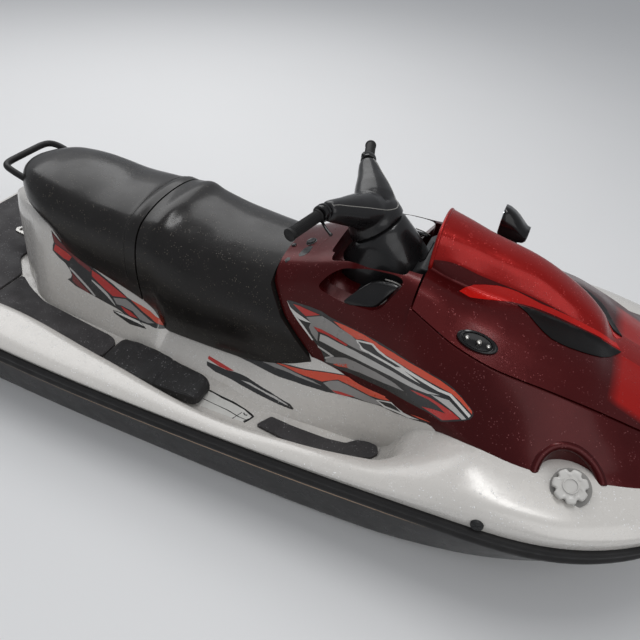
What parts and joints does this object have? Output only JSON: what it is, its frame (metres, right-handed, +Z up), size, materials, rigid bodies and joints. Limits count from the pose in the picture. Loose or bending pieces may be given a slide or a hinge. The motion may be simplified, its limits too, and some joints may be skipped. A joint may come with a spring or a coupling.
{
  "type": "personal watercraft",
  "caption": "Sit-down jet-drive personal watercraft with a long two-piece saddle, hinged bow hood, handlebar, steered jet nozzle and reverse bucket.",
  "frame": {"origin": "amidships on the centreline at the waterline", "axes": "+X towards the bow, +Y to port, +Z up"},
  "size_m": [3.1489, 1.23, 1.0532],
  "materials": {
    "hull_bottom": "dark moulded glass-fibre hull",
    "deck": "silver-grey pearl gelcoat",
    "rub_rail": "black rubber rail",
    "cowl": "dark metallic red",
    "steering_cone": "black",
    "instrument_pod": "black",
    "instrument_display": "dark display window",
    "console_knobs": "black",
    "vent_bars": "black moulded bar",
    "seat_front": "black vinyl",
    "engine_block": "plain block in place of the engine",
    "bow_tub": "black storage tub",
    "mat_platform": "dark grey ribbed mat",
    "mats_side": "dark grey ribbed mats",
    "mat_mid_folded": "peeled mat folded on itself",
    "fuel_filler": "grey neck",
    "fuel_cap": "light grey",
    "gunwale_plugs": "black",
    "bow_eye": "stainless",
    "stern_eyes": "stainless",
    "tow_eye": "light grey casting",
    "transom_fittings": "black",
    "intake_grate": "cast",
    "ride_plate": "cast",
    "sponsons": "black",
    "pump_housing": "cast",
    "pump_stator": "cast",
    "pump_nozzle": "cast",
    "bucket_brackets": "cast",
    "rubber_buffers": "black rubber",
    "hood_hinge_base": "stainless",
    "steering_cover": "black",
    "handlebar": "steel tube",
    "grips": "black ribbed",
    "throttle_lever": "grey",
    "switch_box": "black",
    "steering_nozzle": "cast",
    "reverse_bucket": "cast",
    "impeller": "stainless",
    "drive_shaft": "stainless",
    "hood": "bright metallic red",
    "hood_inserts": "black",
    "mirror_mounts": "black",
    "mirror_port": "black",
    "mirror_glass": "mirror",
    "hood_hinge_leaf": "stainless",
    "seat_rear": "black vinyl",
    "grab_handle": "black"
  },
  "bodies": {
    "hull": {"hull_bottom": "hull_bottom", "deck": "deck", "rub_rail": "rub_rail", "cowl": "cowl", "steering_cone": "steering_cone", "instrument_pod": "instrument_pod", "instrument_display": "instrument_display", "console_knobs": "console_knobs", "vent_bars": "vent_bars", "seat_front": "seat_front", "engine_block": "engine_block", "bow_tub": "bow_tub", "mat_platform": "mat_platform", "mats_side": "mats_side", "mat_mid_folded": "mat_mid_folded", "fuel_filler": "fuel_filler", "fuel_cap": "fuel_cap", "gunwale_plugs": "gunwale_plugs", "bow_eye": "bow_eye", "stern_eyes": "stern_eyes", "tow_eye": "tow_eye", "transom_fittings": "transom_fittings", "intake_grate": "intake_grate", "ride_plate": "ride_plate", "sponsons": "sponsons", "pump_housing": "pump_housing", "pump_stator": "pump_stator", "pump_nozzle": "pump_nozzle", "bucket_brackets": "bucket_brackets", "rubber_buffers": "rubber_buffers", "hood_hinge_base": "hood_hinge_base"},
    "steering": {"steering_cover": "steering_cover", "handlebar": "handlebar", "grips": "grips", "throttle_lever": "throttle_lever", "switch_box": "switch_box"},
    "nozzle": {"steering_nozzle": "steering_nozzle"},
    "bucket": {"reverse_bucket": "reverse_bucket"},
    "impeller": {"impeller": "impeller", "drive_shaft": "drive_shaft"},
    "hood": {"hood": "hood", "hood_inserts": "hood_inserts", "mirror_mounts": "mirror_mounts", "mirror_port": "mirror_port", "mirror_glass": "mirror_glass", "hood_hinge_leaf": "hood_hinge_leaf"},
    "rear_seat": {"seat_rear": "seat_rear", "grab_handle": "grab_handle"}
  },
  "joints": [
    {"name": "steering_turn", "type": "hinge", "parent": "hull", "child": "steering", "pos_m": [0.262, 0, 0.745], "axis": [-0.3976, 0, 0.9176], "range_deg": [-22, 22]},
    {"name": "nozzle_turn", "type": "hinge", "parent": "hull", "child": "nozzle", "pos_m": [-1.444, 0, -0.082], "axis": [0, 0, 1], "range_deg": [-17.6, 17.6]},
    {"name": "bucket_drop", "type": "hinge", "parent": "hull", "child": "bucket", "pos_m": [-1.42, 0, -0.06], "axis": [0, 1, 0], "range_deg": [-70, 0]},
    {"name": "impeller_spin", "type": "hinge", "parent": "hull", "child": "impeller", "pos_m": [-1.2, 0, -0.082], "axis": [1, 0, 0], "continuous": true},
    {"name": "hood_open", "type": "hinge", "parent": "hull", "child": "hood", "pos_m": [1.348, 0, 0.466], "axis": [0, 1, 0], "range_deg": [0, 55]},
    {"name": "rear_seat_lift", "type": "slide", "parent": "hull", "child": "rear_seat", "axis": [0, 0, 1], "range_m": [0, 0.15]}
  ],
  "couplings": [
    {"joint": "nozzle_turn", "follows": "steering_turn", "ratio": -0.8}
  ]
}
